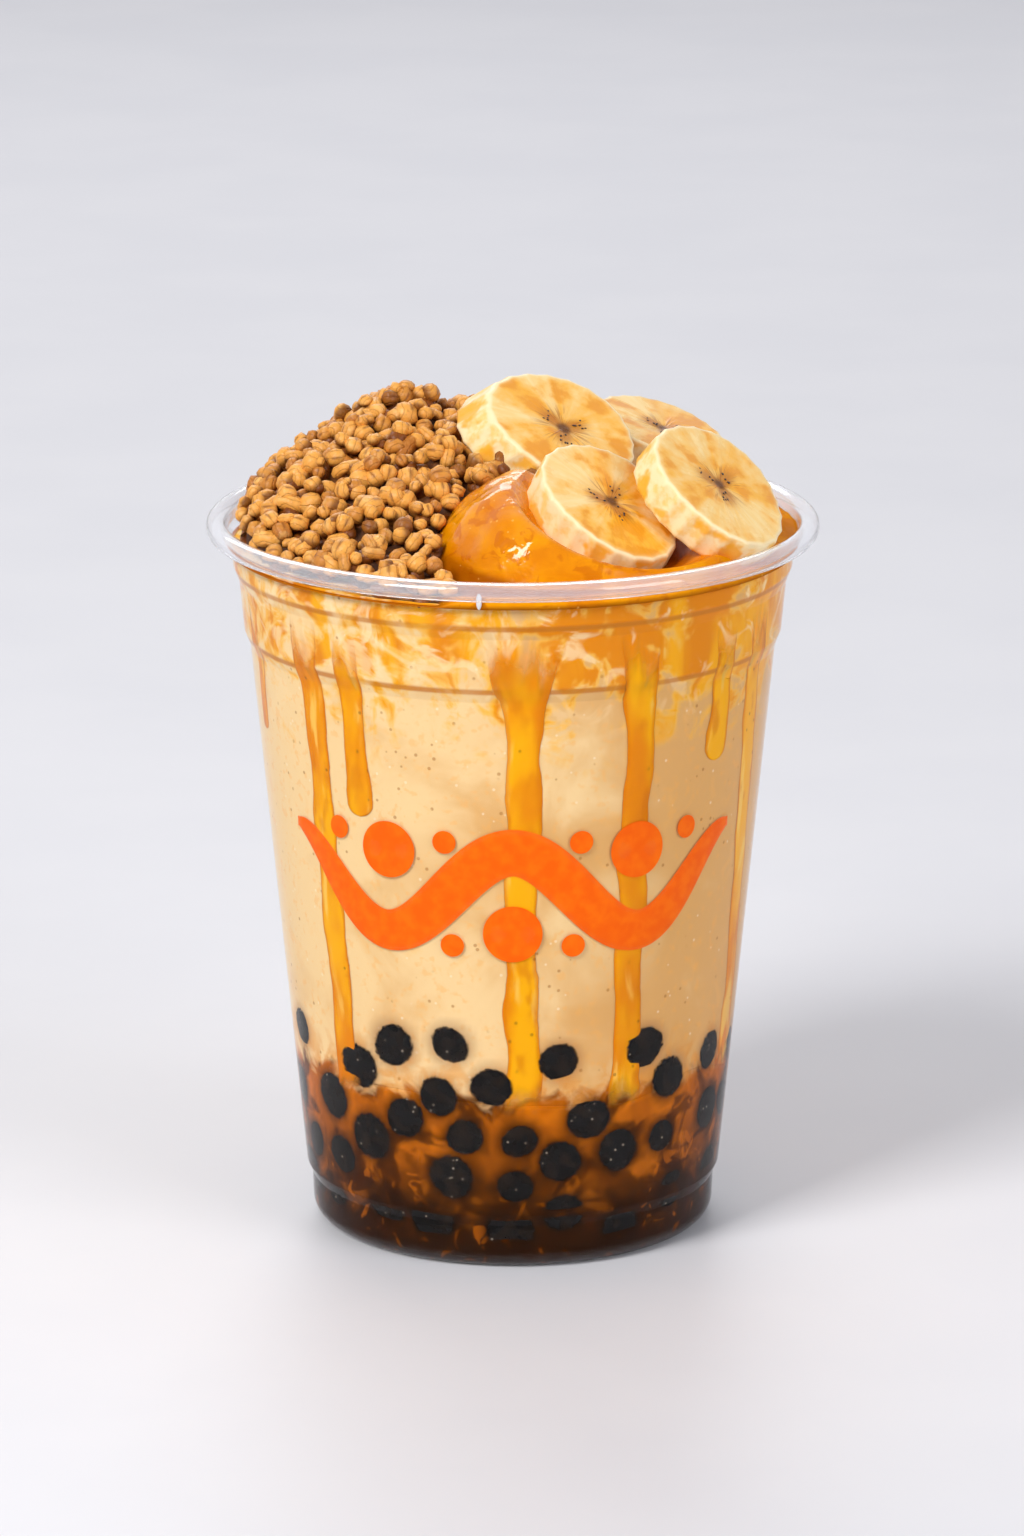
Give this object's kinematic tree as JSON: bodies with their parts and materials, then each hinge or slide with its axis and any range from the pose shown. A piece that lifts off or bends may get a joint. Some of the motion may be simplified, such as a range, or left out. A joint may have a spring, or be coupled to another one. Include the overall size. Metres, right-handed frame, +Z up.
{
  "type": "protein shake",
  "caption": "Creamy shake over a dark syrup layer in a clear ridged takeaway cup, heaped with baked oat clusters, banana slices and caramel sauce.",
  "frame": {"origin": "centre of the bounding box at the level of the standing ring under the cup", "axes": "+Z up along the cup's axis, -Y towards the viewer, +X to the viewer's right"},
  "size_m": [0.098, 0.098, 0.1363],
  "materials": {
    "cup": "clear glossy plastic",
    "pearl_syrup": "dark amber syrup with cooked pearls in it, wet",
    "shake": "creamy, satin",
    "granola": "baked oat clusters, dry with a slight sugar sheen",
    "caramel": "wet caramel sauce",
    "banana": "fresh cut fruit, moist"
  },
  "bodies": {
    "root": {"cup": "cup", "pearl_syrup": "pearl_syrup", "shake": "shake", "granola_heap": "granola", "caramel": "caramel", "banana_slice_front": "banana", "banana_slice_right": "banana", "banana_slice_left": "banana", "banana_slice_back": "banana"}
  },
  "joints": []
}
